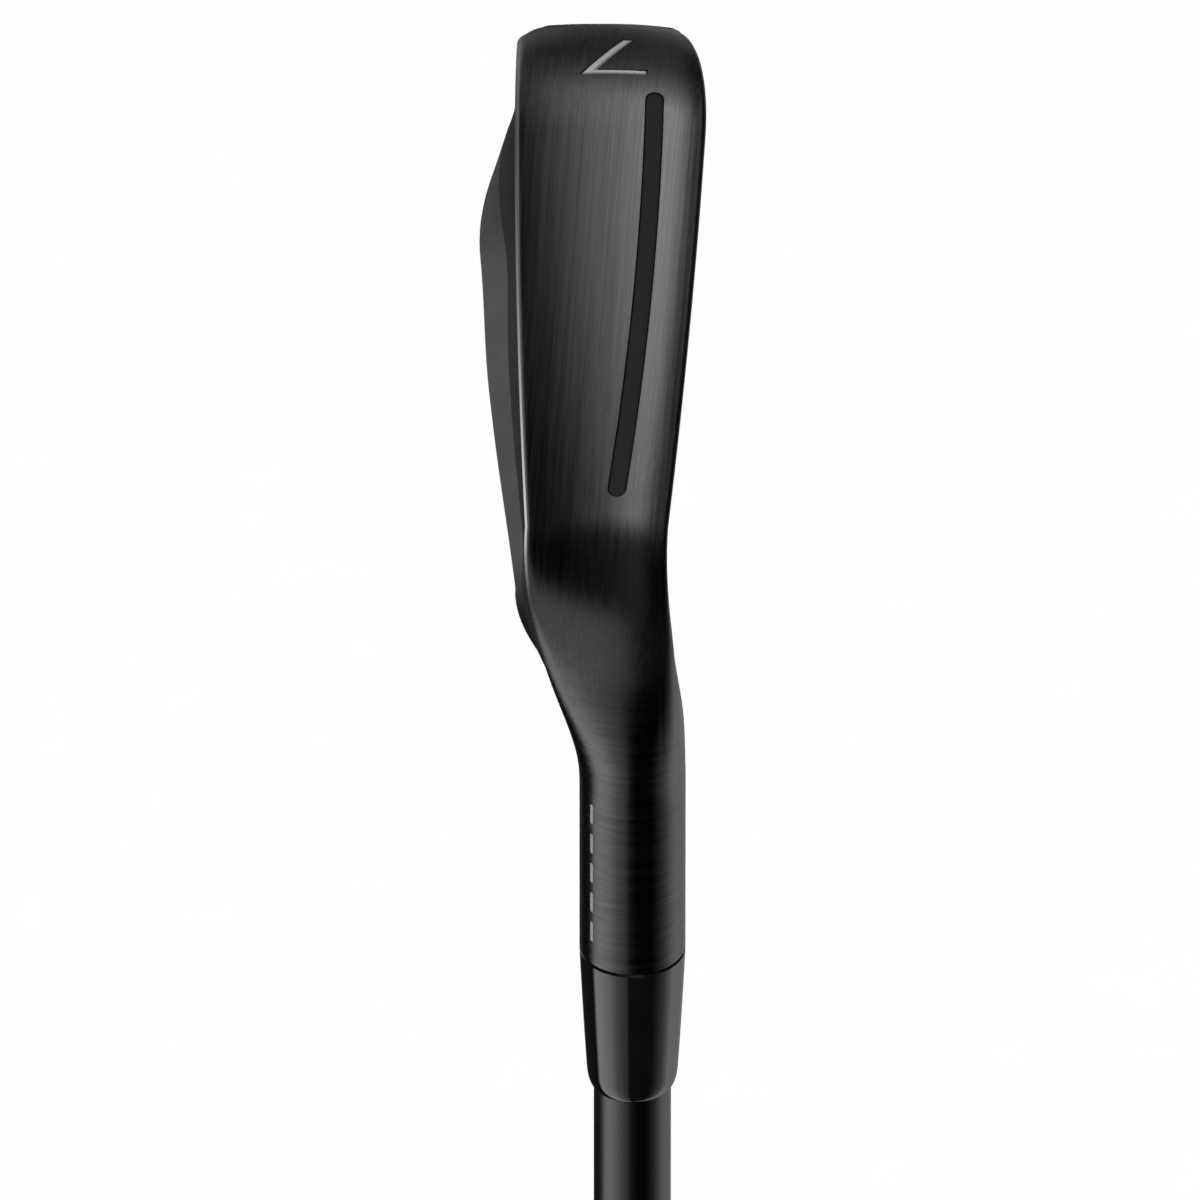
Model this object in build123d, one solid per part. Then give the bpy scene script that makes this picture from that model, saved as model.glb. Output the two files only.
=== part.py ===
"""A right-handed, hollow-bodied iron golf club, standing on its grip with the head up.

Club frame: +Z runs along the shaft axis from the butt to the head, +X is the way the face
looks and +Y points to the toe. The origin is the centre of the butt face. Millimetres.

Head frame: the club as it is soled for a shot. +X points away from the target, +Y to the toe
and +Z up, with the origin where the shaft axis meets the ground.
"""
from build123d import *
import math
import os

# ---------------------------------------------------------------- driving dimensions
LIE = math.radians(62.5)
LOFT = math.radians(30.5)
GROUND_Z = 940.0            # butt face to the point where the shaft axis meets the ground

HOSEL_R = 6.5
HOSEL_TOP = 62.0            # along the axis, from the ground point
HOSEL_ROOT = 38.0           # where the hosel starts to flow into the blade
BEND_R = 22.5               # the section planes turn about a line this far from the shaft axis

TOE_END = 75.85             # last section of the blade
TOE_TIP = 76.3              # where the outline of the toe would close
TOE_START = 56.0            # where the outline starts to curve round the toe
TOE_MID_Z = 14.0            # height of the furthest point of the toe
CROTCH_Z = 22.5             # top line where it leaves the hosel
TOP_SLOPE = 0.304           # rise of the top line towards the toe
FACE_X = -6.12              # where the plane of the face meets the ground
CAMBER_R = 560.0            # heel-to-toe radius of the sole
CAMBER_Y = 38.0             # lowest point of the sole
SOLE_RUN_ON = 2.98          # how fast the sole keeps rising where the sections start to turn
TRAILING_X = 13.25          # trailing edge at station 0, its spread and its bow towards the toe
TRAILING_SPREAD = 0.125
TRAILING_BOW = 0.0004
CORNER_START = 71.5         # the back corner of the toe is rounded from here on
CORNER_ROUND = 5.0
TOP_W = 8.3                 # top line, front to back
TOP_BEND = 2.2              # exponent of the top line's round at the toe
SECTION_H = 21.0            # sections lower than this have their edges scaled down
GROOVE_MOUTH = 2.7          # length of the flat above the groove, down the back, at station 0
GROOVE_SPREAD = 0.075       # and how fast it grows towards the toe

FACE_T = 2.0                # thickness of the face plate
CAVITY_T = 2.7              # foam-filled space behind it
CAVITY_INSET = 2.4
CHAMBER_X = (-1.4, 9.0)     # lower chamber over the sole
CHAMBER_Y = (11.0, 66.0)
CHAMBER_Z = (3.0, 8.3)
WEIGHT_X = 12.5             # back of the tungsten weight
WEIGHT_Y = 54.0             # the tungsten weight fills the chamber from here to the toe
WEIGHT_Z = 4.9              # floor of the chamber under the weight

SLOT_PATH = ((1.98, 60.2, 0), (1.35, 32.5, 0), (2.45, 6.4, 0))
SLOT_W = 2.15
SLOT_SINK = 0.2             # the strip sits this far below the sole

NUMBER_CORNER = (11.0, 64.6)    # numeral 7 on the sole, corner and ends of its strokes in plan
NUMBER_BAR_END = (3.3, 64.6)
NUMBER_STEM_END = (5.7, 70.0)
NUMBER_BAR_W = 0.6
NUMBER_STEM_W = 0.9
ENGRAVE = 0.3
PAINT_SINK = 0.08

SCORE_FIRST = 8.5           # height of the lowest score line up the face
SCORE_LAST = 38.0
SCORE_PITCH = 3.6
SCORE_W = 0.8
SCORE_DEPTH = 0.4
SCORE_HEEL = 19.0
SCORE_TOE = 57.0
SCORE_TOP_GAP = 3.0

PORT_R = 2.2                # foam port in the toe, about the screw's axis
PORT_X = 9.6
PORT_Z = 16.5
PORT_START = 71.8
SCREW_LENGTH = 3.7
SCREW_KEY = 2.5             # across the flats of the key hole
SCREW_KEY_DEPTH = 1.6

SHAFT_TIP_R = 4.75
SHAFT_BUTT_R = 7.62
SHAFT_WALL = 0.4
SHAFT_TIP_Z = GROUND_Z - 31.0
SHAFT_BUTT_Z = 5.0
STEPS = 15
STEP_PITCH = 44.45
FIRST_STEP_Z = 780.0
STEP_SLOPE = 0.6            # length of the small taper at each step
BOND_T = 0.1
BORE_FLOOR_Z = GROUND_Z - 30.0
TIP_WEIGHT_LENGTH = 12.0
SEAM_CHAMFER = 0.25

HOSEL_TOP_Z = GROUND_Z - HOSEL_TOP
FERRULE_LENGTH = 20.3
FERRULE_END_R = 5.65
FERRULE_ROUND_H = 3.2       # height of the rounded end

MARK_COUNT = 5              # plain engraved dashes along the hosel
MARK_LENGTH = 3.0
MARK_W = 0.6
MARK_PITCH = 4.4
MARK_START = 5.0            # middle of the first dash, from the top of the hosel
MARK_TURN = 46.0            # degrees round the hosel from the heel side towards the back
MARK_DEPTH = 0.2

GRIP_MOUTH_Z = 268.0
GRIP_MOUTH_R = 9.1
GRIP_EDGE_W = 0.6           # chamfer round the mouth
GRIP_EDGE_H = 1.5
GRIP_BUTT_R = 13.4
GRIP_POINTS = ((12.6, 45.0), (11.2, 130.0))     # (radius, z) on the sleeve between cap and mouth
TAPE_T = 0.25
CAP_T = 5.0
CAP_FLAT_R = 10.4
CAP_ROUND = 3.2
VENT_R = 2.0
BAND_Z = (292.0, 330.0)
BAND_T = 0.12


def arc_handle(radius, sweep):
    """Length of the cubic handles that follow an arc of the given sweep."""
    return 4.0 / 3.0 * math.tan(sweep / 4.0) * radius


def smooth(t):
    t = min(1.0, max(0.0, t))
    return t * t * (3.0 - 2.0 * t)


def mix(a, b, t):
    return a + (b - a) * t


def between(p, q, t):
    return (mix(p[0], q[0], t), mix(p[1], q[1], t))


AXIS_UP = (-math.cos(LIE), math.sin(LIE))        # shaft axis in the head frame, (y, z)
AXIS_SIDE = (math.sin(LIE), math.cos(LIE))       # across the axis, towards the toe
PIVOT_Y = AXIS_UP[0] * HOSEL_ROOT + AXIS_SIDE[0] * BEND_R
PIVOT_Z = AXIS_UP[1] * HOSEL_ROOT + AXIS_SIDE[1] * BEND_R


# ---------------------------------------------------------------- the blade's outlines
def face_x(z):
    return FACE_X + z * math.tan(LOFT)


def sole_z(y):
    """Lowest point of the sole at station y."""
    z = (y - CAMBER_Y) ** 2 / (2.0 * CAMBER_R)
    if y > TOE_START:
        u = (y - TOE_START) / (TOE_TIP - TOE_START)
        z += (TOE_MID_Z - 1.5) * (1.0 - math.sqrt(1.0 - u * u))
    return z


def top_z(y):
    """Height of the top line at station y."""
    z = CROTCH_Z + TOP_SLOPE * (y - PIVOT_Y)
    if y > TOE_START:
        u = (y - TOE_START) / (TOE_TIP - TOE_START)
        drop = CROTCH_Z + TOP_SLOPE * (TOE_TIP - PIVOT_Y) - TOE_MID_Z
        z -= drop * (1.0 - (1.0 - u ** TOP_BEND) ** (1.0 / TOP_BEND))
    return z


def trailing_x(y):
    """Trailing edge of the sole at station y."""
    x = TRAILING_X + TRAILING_SPREAD * y - TRAILING_BOW * y * y
    if y > CORNER_START:
        u = (y - CORNER_START) / (TOE_TIP - CORNER_START)
        x -= CORNER_ROUND * (1.0 - math.sqrt(1.0 - u * u))
    return x


def top_width(y):
    """Front-to-back size of the top line at station y."""
    w = TOP_W + 0.45 * smooth(y / 30.0) - 0.85 * smooth((y - 34.0) / 24.0)
    if y > CORNER_START:
        u = (y - CORNER_START) / (TOE_TIP - CORNER_START)
        w -= 2.0 * (1.0 - math.sqrt(1.0 - u * u))
    return w


# ---------------------------------------------------------------- sections of the head
def straight(p, q):
    """A straight edge from p to q as a cubic, without its last point."""
    return [p, between(p, q, 1 / 3), between(p, q, 2 / 3)]


def blade_section(y):
    """Eight cubic edges, as (start, handle, handle), round the blade's section in (x, z)."""
    zb = sole_z(y)
    zt = top_z(y)
    k = min(1.0, (zt - zb) / SECTION_H)
    xt = trailing_x(y)
    groove = smooth((y + 4.0) / 14.0) * (1.0 - 0.85 * smooth((y - 50.0) / 20.0))

    # foot and top of the face, back of the top line, trailing edge above and below, leading edge
    a = (face_x(zb + 2.9 * k), zb + 2.9 * k)
    b = (face_x(zt), zt)
    c = (face_x(zt) + top_width(y), zt - 1.2 * k)
    f = (xt, zb + 3.9 * k)
    g = (xt - 0.55, zb + 3.2 * k)
    h = (a[0] + 0.35, zb + 1.2 * k)

    # both ends of the groove behind the sole, which runs out at the heel and at the toe
    mouth = GROOVE_MOUTH + GROOVE_SPREAD * max(0.0, y)
    cut_d = (c[0] - mouth * math.sin(LOFT), c[1] - mouth * math.cos(LOFT) * k)
    cut_e = (xt - 4.2, zb + 7.0 * k)
    d = between(between(c, f, 0.3), cut_d, groove)
    e = between(between(c, f, 0.8), cut_e, groove)
    near_d = between(between(d, e, 0.33), (d[0] - 4.0, d[1] - 4.2 * k), groove)
    near_e = between(between(d, e, 0.67), (e[0] - 2.6, e[1] + 2.6 * k), groove)

    return [
        straight(a, b),
        [b, (b[0] + 1.6, b[1] + 1.3 * k), (c[0] - 2.0, c[1] + 1.6 * k)],
        straight(c, d),
        [d, near_d, near_e],
        straight(e, f),
        straight(f, g),
        [g, (g[0] - 6.0, zb + 0.2 * k), (h[0] + 4.5, zb - 0.5 * k)],
        [h, (h[0] - 0.8, h[1] + 0.15 * k), (a[0] - 0.45, a[1] - 0.9 * k)],
    ]


# where the eight edges start round the hosel, degrees
HOSEL_ANGLES = [200, 130, 60, 25, 0, -25, -55, -130, -160]


def hosel_section():
    """The same eight edges round the hosel, as (x, height above the axis)."""
    edges = []
    for first, last in zip(HOSEL_ANGLES, HOSEL_ANGLES[1:]):
        a0 = math.radians(first)
        a1 = math.radians(last)
        h = arc_handle(HOSEL_R, a0 - a1)
        p0 = (HOSEL_R * math.cos(a0), HOSEL_R * math.sin(a0))
        p1 = (HOSEL_R * math.cos(a1), HOSEL_R * math.sin(a1))
        edges.append([p0,
                      (p0[0] + h * math.sin(a0), p0[1] - h * math.cos(a0)),
                      (p1[0] - h * math.sin(a1), p1[1] + h * math.cos(a1))])
    return edges


def section_wire(edges, place):
    """A closed wire of cubic edges, each point put in space by place(x, height)."""
    curves = []
    for i, edge in enumerate(edges):
        after = edges[(i + 1) % len(edges)][0]
        points = [place(*p) for p in edge] + [place(*after)]
        curves.append(Edge.make_bezier(*points))
    return Wire(curves)


def hosel_ring(s):
    """Section of the hosel at the distance s along the axis."""
    def place(x, up):
        return Vector(x, AXIS_UP[0] * s + AXIS_SIDE[0] * up, AXIS_UP[1] * s + AXIS_SIDE[1] * up)
    return section_wire(hosel_section(), place)


def turning_ring(t):
    """Section between the hosel, t = 0, and the blade's first station, t = 1."""
    angle = t * LIE
    out_y = -math.sin(LIE - angle)
    out_z = -math.cos(LIE - angle)
    weight = smooth(t)
    front = weight ** 4.0
    back = weight ** (1.5 - 0.5 * t)
    run_on = SOLE_RUN_ON * (1.0 - t) * t * t
    zb = sole_z(PIVOT_Y)
    zt = top_z(PIVOT_Y)
    edges = []
    for ring, blade in zip(hosel_section(), blade_section(PIVOT_Y)):
        edge = []
        for p, q in zip(ring, blade):
            reach = mix(BEND_R - p[1], PIVOT_Z - q[1], weight)
            reach -= run_on * (zt - q[1]) / (zt - zb)
            edge.append((mix(p[0], q[0], front if p[0] < 0 else back), reach))
        edges.append(edge)

    def place(x, reach):
        return Vector(x, PIVOT_Y + out_y * reach, PIVOT_Z + out_z * reach)
    return section_wire(edges, place)


def blade_ring(y):
    def place(x, z):
        return Vector(x, y, z)
    return section_wire(blade_section(y), place)


def blade_blank():
    rings = [hosel_ring(s) for s in (HOSEL_TOP, 56, 50, 44, 41)]
    rings += [turning_ring(i / 5) for i in range(6)]
    rings += [blade_ring(y) for y in (9, 18, 28, 38, 48, 56, 62, 67, 71, 73.5, 75.2, TOE_END)]
    return Solid.make_loft(rings)


# ---------------------------------------------------------------- placing things
HEAD = Plane(origin=(0, 0, GROUND_Z), x_dir=(-1, 0, 0), z_dir=(0, math.cos(LIE), -math.sin(LIE)))
FACE = Plane(origin=(FACE_X, 0, 0), x_dir=(0, 1, 0), z_dir=(math.cos(LOFT), 0, -math.sin(LOFT)))


def to_club(shape):
    """Move a shape from the head frame to the club frame."""
    return HEAD.location * shape


def from_face(profile, start, depth):
    """Extrude a face-plane profile backwards, from start to start + depth behind the face."""
    return FACE.location * Pos(0, 0, start) * extrude(profile, depth)


def station_box(x0, x1, y0, y1, z0, z1):
    box = Box(x1 - x0, y1 - y0, z1 - z0)
    return Pos((x0 + x1) / 2, (y0 + y1) / 2, (z0 + z1) / 2) * box


def turned(points):
    """A solid of revolution about +Z from (radius, z) points."""
    outline = Polyline(*[(r, 0, z) for r, z in points], close=True)
    return revolve(make_face(outline), Axis.Z, 360)


# ---------------------------------------------------------------- head, inside and out
def face_outline(inset):
    """Outline of the face in the face plane, (towards the toe, up the face)."""
    bottom = Line((11 + inset, 5.0 + inset), (57, 5.0 + inset))
    toe = Spline((57, 5.0 + inset), (69.3 - inset / 2, 10.0 + inset), (74.1 - inset, 21),
                 (71.0 - inset, 35.8 - inset), (62.5 - inset / 2, 43.3 - inset),
                 tangents=[(1, 0), (-1, -0.28)])
    top = Line((62.5 - inset / 2, 43.3 - inset), (11 + inset, 27.0 - inset))
    heel = Line((11 + inset, 27.0 - inset), (11 + inset, 5.0 + inset))
    return make_face([bottom, toe, top, heel])


def face_slab():
    """Everything in front of the back of the face plate."""
    return from_face(Rectangle(300, 300), -50, 50 + FACE_T)


def weight_tool():
    block = station_box(0, WEIGHT_X, WEIGHT_Y, CHAMBER_Y[1], WEIGHT_Z, CHAMBER_Z[1])
    return block - face_slab()


def cavity_tool():
    slab = from_face(face_outline(CAVITY_INSET), FACE_T, CAVITY_T)
    heel_part = station_box(*CHAMBER_X, CHAMBER_Y[0], WEIGHT_Y, *CHAMBER_Z) - face_slab()
    return slab + heel_part + weight_tool()


def slot_tool():
    """The curved slot near the leading edge, as a tall prism with round ends."""
    path = ThreePointArc(*SLOT_PATH)
    outline = SlotArc(path, SLOT_W)
    return Pos(0, 0, -5) * extrude(outline, 5 + CHAMBER_Z[0])


def stroke(p0, p1, width, height):
    """An upright prism along the line from p0 to p1 in plan."""
    length = math.dist(p0, p1)
    angle = math.degrees(math.atan2(p1[1] - p0[1], p1[0] - p0[0]))
    prism = Box(length, width, height)
    return Pos((p0[0] + p1[0]) / 2, (p0[1] + p1[1]) / 2, 0) * Rot(0, 0, angle) * prism


def number_tool():
    bar = stroke(NUMBER_CORNER, NUMBER_BAR_END, NUMBER_BAR_W, 20)
    stem = stroke(NUMBER_CORNER, NUMBER_STEM_END, NUMBER_STEM_W, 20)
    return bar + stem


def score_lines():
    """The grooves across the face, each a shallow bar in the face plane."""
    bars = []
    v = SCORE_FIRST
    while v < SCORE_LAST:
        clear_z = (v + SCORE_TOP_GAP) * math.cos(LOFT)
        start = max(SCORE_HEEL, PIVOT_Y + (clear_z - CROTCH_Z) / TOP_SLOPE)
        bar = Rectangle(SCORE_TOE - start, SCORE_W)
        bars.append(from_face(Pos((start + SCORE_TOE) / 2, v) * bar, 0, SCORE_DEPTH))
        v += SCORE_PITCH
    return bars


def sole_inlay(tool, blank, depth):
    """The part of an upright tool that lies in the sole, down to the given depth."""
    return (tool & blank) - Pos(0, 0, depth) * blank


def port_tool():
    hole = Cylinder(PORT_R, TOE_TIP - PORT_START, align=(Align.CENTER, Align.CENTER, Align.MIN))
    return Pos(PORT_X, PORT_START, PORT_Z) * Rot(-90, 0, 0) * hole


def port_screw():
    low = (Align.CENTER, Align.CENTER, Align.MIN)
    body = Cylinder(PORT_R, SCREW_LENGTH, align=low)
    key = extrude(RegularPolygon(SCREW_KEY / 2, 6, major_radius=False), SCREW_KEY_DEPTH)
    screw = body - Pos(0, 0, SCREW_LENGTH - SCREW_KEY_DEPTH) * key
    return Pos(PORT_X, PORT_START, PORT_Z) * Rot(-90, 0, 0) * screw


# ---------------------------------------------------------------- shaft and grip profiles
def shaft_steps():
    """(radius, z) points down the outside of the shaft, from the tip to the butt."""
    rise = (SHAFT_BUTT_R - SHAFT_TIP_R) / STEPS
    points = [(SHAFT_TIP_R, SHAFT_TIP_Z)]
    for i in range(STEPS):
        z = FIRST_STEP_Z - i * STEP_PITCH
        points.append((SHAFT_TIP_R + i * rise, z))
        points.append((SHAFT_TIP_R + (i + 1) * rise, z - STEP_SLOPE))
    points.append((SHAFT_BUTT_R, SHAFT_BUTT_Z))
    return points


def radius_at(z):
    """Outside radius of the shaft at the height z, on the straight between two steps."""
    passed = sum(1 for i in range(STEPS) if z < FIRST_STEP_Z - i * STEP_PITCH)
    return SHAFT_TIP_R + passed * (SHAFT_BUTT_R - SHAFT_TIP_R) / STEPS


def shaft_core(z_low, z_high, grow):
    """The solid inside the shaft's outside, or that much larger, between two heights."""
    inner = [(r + grow, z) for r, z in shaft_steps() if z_low < z < z_high]
    points = [(0, z_high), (radius_at(z_high) + grow, z_high)] + inner
    points += [(radius_at(z_low) + grow, z_low), (0, z_low)]
    return turned(points)


def shaft():
    tube = shaft_core(SHAFT_BUTT_Z, SHAFT_TIP_Z, 0)
    return tube - shaft_core(SHAFT_BUTT_Z - 1, SHAFT_TIP_Z + 1, -SHAFT_WALL)


def ferrule():
    end = HOSEL_TOP_Z - FERRULE_LENGTH
    neck = end + FERRULE_ROUND_H
    lip = SHAFT_TIP_R + 0.02
    seam = SEAM_CHAMFER
    sides = [
        Line((SHAFT_TIP_R, 0, HOSEL_TOP_Z), (HOSEL_R - seam, 0, HOSEL_TOP_Z)),
        Line((HOSEL_R - seam, 0, HOSEL_TOP_Z), (HOSEL_R, 0, HOSEL_TOP_Z - seam)),
        Spline((HOSEL_R, 0, HOSEL_TOP_Z - seam), (HOSEL_R - 0.36, 0, HOSEL_TOP_Z - 8),
               (FERRULE_END_R, 0, neck)),
        Spline((FERRULE_END_R, 0, neck), (lip, 0, end), tangents=[(-0.05, 0, -1), (-1, 0, -0.35)]),
        Line((lip, 0, end), (SHAFT_TIP_R, 0, end)),
        Line((SHAFT_TIP_R, 0, end), (SHAFT_TIP_R, 0, HOSEL_TOP_Z)),
    ]
    return revolve(make_face(sides), Axis.Z, 360)


def grip_sleeve():
    edge_z = GRIP_MOUTH_Z - GRIP_EDGE_H
    sides = [
        Line((0, 0, CAP_T), (GRIP_BUTT_R, 0, CAP_T)),
        Spline((GRIP_BUTT_R, 0, CAP_T), *[(r, 0, z) for r, z in GRIP_POINTS], (GRIP_MOUTH_R, 0, edge_z)),
        Line((GRIP_MOUTH_R, 0, edge_z), (GRIP_MOUTH_R - GRIP_EDGE_W, 0, GRIP_MOUTH_Z)),
        Line((GRIP_MOUTH_R - GRIP_EDGE_W, 0, GRIP_MOUTH_Z), (0, 0, GRIP_MOUTH_Z)),
        Line((0, 0, GRIP_MOUTH_Z), (0, 0, CAP_T)),
    ]
    outside = revolve(make_face(sides), Axis.Z, 360)
    return outside - shaft_core(CAP_T, GRIP_MOUTH_Z, TAPE_T)


def grip_end_cap():
    sides = [
        Line((VENT_R, 0, 0), (CAP_FLAT_R, 0, 0)),
        Spline((CAP_FLAT_R, 0, 0), (GRIP_BUTT_R, 0, CAP_ROUND), tangents=[(1, 0, 0), (0, 0, 1)]),
        Line((GRIP_BUTT_R, 0, CAP_ROUND), (GRIP_BUTT_R, 0, CAP_T)),
        Line((GRIP_BUTT_R, 0, CAP_T), (VENT_R, 0, CAP_T)),
        Line((VENT_R, 0, CAP_T), (VENT_R, 0, 0)),
    ]
    return revolve(make_face(sides), Axis.Z, 360)


def band_sleeve(z_low, z_high, thickness):
    """A thin sleeve on the outside of the shaft."""
    return shaft_core(z_low, z_high, thickness) - shaft_core(z_low, z_high, 0)


def hosel_marks():
    """Plain dashes along the hosel, as blocks that reach below its surface."""
    blocks = []
    for i in range(MARK_COUNT):
        z = HOSEL_TOP_Z + MARK_START + i * MARK_PITCH
        block = Box(MARK_W, 2.0, MARK_LENGTH)
        blocks.append(Rot(0, 0, -MARK_TURN) * Pos(0, -HOSEL_R, z) * block)
    return blocks


# ---------------------------------------------------------------- the nodes
def make_nodes():
    blank = blade_blank()
    cavity = cavity_tool()
    weight = weight_tool()
    plate = from_face(face_outline(0), 0, FACE_T)
    slot = slot_tool() & blank
    number = sole_inlay(number_tool(), blank, ENGRAVE)
    port = port_tool()

    body = blank - plate - cavity - slot - number - port
    strip = slot & (Pos(0, 0, SLOT_SINK) * blank)
    paint = number & (Pos(0, 0, PAINT_SINK) * blank)
    foam = cavity - weight
    for groove in score_lines():
        plate = plate - groove

    body = to_club(body)
    bore = Pos(0, 0, HOSEL_TOP_Z - 1) * Cylinder(SHAFT_TIP_R + BOND_T, BORE_FLOOR_Z - HOSEL_TOP_Z + 1,
                                                 align=(Align.CENTER, Align.CENTER, Align.MIN))
    body = body - bore
    seam = turned([(HOSEL_R - SEAM_CHAMFER, HOSEL_TOP_Z), (HOSEL_R + 1, HOSEL_TOP_Z + SEAM_CHAMFER + 1),
                   (HOSEL_R + 1, HOSEL_TOP_Z - 1), (HOSEL_R - SEAM_CHAMFER, HOSEL_TOP_Z - 1)])
    body = body - seam
    shell = turned([(HOSEL_R - MARK_DEPTH, HOSEL_TOP_Z), (HOSEL_R + 1, HOSEL_TOP_Z),
                    (HOSEL_R + 1, HOSEL_TOP_Z + 30), (HOSEL_R - MARK_DEPTH, HOSEL_TOP_Z + 30)])
    marks = []
    for block in hosel_marks():
        mark = block & shell
        marks.append(mark & body)
    for mark in marks:
        body = body - mark

    bond = Pos(0, 0, HOSEL_TOP_Z) * Cylinder(SHAFT_TIP_R + BOND_T, BORE_FLOOR_Z - HOSEL_TOP_Z,
                                             align=(Align.CENTER, Align.CENTER, Align.MIN))
    bond = bond - shaft_core(HOSEL_TOP_Z - 10, SHAFT_TIP_Z, 0)
    tip_weight = Pos(0, 0, SHAFT_TIP_Z - TIP_WEIGHT_LENGTH) * Cylinder(
        SHAFT_TIP_R - SHAFT_WALL, TIP_WEIGHT_LENGTH, align=(Align.CENTER, Align.CENTER, Align.MIN))

    return {
        "head_body": body,
        "face_plate": to_club(plate),
        "sole_slot_insert": to_club(strip),
        "number_paint": to_club(paint),
        "hosel_mark_paint": Compound([mark.solids()[0] for mark in marks]),
        "cavity_foam": to_club(foam),
        "toe_weight": to_club(weight),
        "fill_port_screw": to_club(port_screw()),
        "ferrule": ferrule(),
        "hosel_epoxy": bond,
        "tip_weight": tip_weight,
        "shaft": shaft(),
        "shaft_band": band_sleeve(*BAND_Z, BAND_T),
        "grip_tape": band_sleeve(SHAFT_BUTT_Z, GRIP_MOUTH_Z, TAPE_T),
        "grip_sleeve": grip_sleeve(),
        "grip_end_cap": grip_end_cap(),
    }


def main():
    os.makedirs("parts", exist_ok=True)
    for name, shape in make_nodes().items():
        export_step(shape, f"parts/{name}.step")
        print(f"{name}: {shape.volume:.1f} mm3")


if __name__ == "__main__":
    main()
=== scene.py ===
import math

import bmesh
import bpy
import numpy as np
from mathutils import Matrix, Vector
from mathutils.bvhtree import BVHTree
from mathutils.interpolate import poly_3d_calc


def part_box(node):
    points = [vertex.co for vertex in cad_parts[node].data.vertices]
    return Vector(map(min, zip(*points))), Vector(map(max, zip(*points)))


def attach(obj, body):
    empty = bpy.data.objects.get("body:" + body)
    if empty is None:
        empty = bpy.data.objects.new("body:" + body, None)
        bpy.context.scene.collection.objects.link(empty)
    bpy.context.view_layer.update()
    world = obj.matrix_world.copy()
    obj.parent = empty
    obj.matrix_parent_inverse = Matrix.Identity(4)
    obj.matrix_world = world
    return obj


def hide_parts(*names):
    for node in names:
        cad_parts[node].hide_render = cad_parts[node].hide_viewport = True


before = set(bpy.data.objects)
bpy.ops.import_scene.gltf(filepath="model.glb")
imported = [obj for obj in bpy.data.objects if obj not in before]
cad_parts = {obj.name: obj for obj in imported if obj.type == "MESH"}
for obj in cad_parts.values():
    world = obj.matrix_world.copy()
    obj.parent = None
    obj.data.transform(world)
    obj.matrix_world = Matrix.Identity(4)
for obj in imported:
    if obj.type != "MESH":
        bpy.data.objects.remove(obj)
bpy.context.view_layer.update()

MM = 0.001
BODY = "root"

# ---------------------------------------------------------------- the head's driving sizes, mm
LIE = math.radians(62.5)
LOFT = math.radians(30.5)
HOSEL_R = 6.5
HOSEL_TOP = 62.0            # along the shaft axis, from the ground point
HOSEL_ROOT = 38.0
BEND_R = 22.5               # the section planes turn about a line this far from the axis
TOE_END = 75.85
TOE_TIP = 76.3
TOE_START = 56.0
TOE_MID_Z = 14.0
TOE_SOLE_Z = 1.5
CROTCH_Z = 22.5
TOP_SLOPE = 0.304
FACE_X = -6.12
CAMBER_R = 560.0
CAMBER_Y = 38.0
SOLE_RUN_ON = 2.98          # how far the sole runs on past the circle of the bend
TRAILING_X = 13.25          # the trailing edge's distance back: at the heel, its spread, its bow
TRAILING_SPREAD = 0.125
TRAILING_BOW = 0.0004
CORNER_START = 71.5         # where the back corners of the toe start to round off
CORNER_ROUND = 5.0
TOP_W = 8.3                 # width of the top line: at the heel, then its swell and its taper
TOP_SWELL = 0.45
TOP_TAPER = 0.85
TOP_ROUND = 2.0
TOP_BEND = 2.2              # power of the superellipse that rounds the crown of the toe
SECTION_H = 21.0            # a section lower than this is drawn in scale with its height
GROOVE_MOUTH = 2.7
GROOVE_SPREAD = 0.075
TOE_EDGE_R = 1.1            # how far the end cap of the toe draws in, and how far it bulges
TOE_BULGE = 0.42
SEAM_CHAMFER = 0.25
BORE_FLOOR = 30.0           # bottom of the shaft bore, along the axis from the ground point

# ---------------------------------------------------------------- slot, numeral, marks and screw, mm
SLOT_PATH = ((1.98, 60.2), (1.35, 32.5), (2.45, 6.4))
SLOT_W = 2.15
SLOT_DEPTH = 2.2
# the numeral 7 in plan: its point, both corners of the stem's end, the inner corner, the bar's end
NUMBER = ((11.4, 64.2), (6.79, 70.4), (5.71, 70.4), (9.73, 64.8), (3.4, 64.8), (3.4, 64.2))
NUMBER_DEPTH = 0.3
NUMBER_CUT = 0.14           # the engraving is this much larger all round than the outline
NUMBER_LOOPS = ((0.02, 0.29), (0.0, 0.2), (-0.17, 0.04))    # the paint's (growth, depth)
MARK_COUNT = 5
MARK_LENGTH = 3.0
MARK_W = 0.6
MARK_PITCH = 4.4
MARK_START = 5.0
MARK_TURN = math.radians(46.0)
MARK_DEPTH = 0.2
FILL_GAP = 0.02             # what fills a recess stays this far clear of its walls
PAINT_SINK = 0.06
PORT_X = 9.6
PORT_Z = 16.5
PORT_START = 71.8
PORT_R = 2.2
SCREW_LENGTH = 3.7
SCREW_KEY = 2.5
SCREW_KEY_DEPTH = 1.6
SCREW_CHAMFER = 0.2
KEY_CHAMFER = 0.12
CLEAR = 1.0                 # how far a cutter stands out of the surface it cuts
BELOW_SOLE = -3.0
BELOW_HEAD = -40.0

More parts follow.
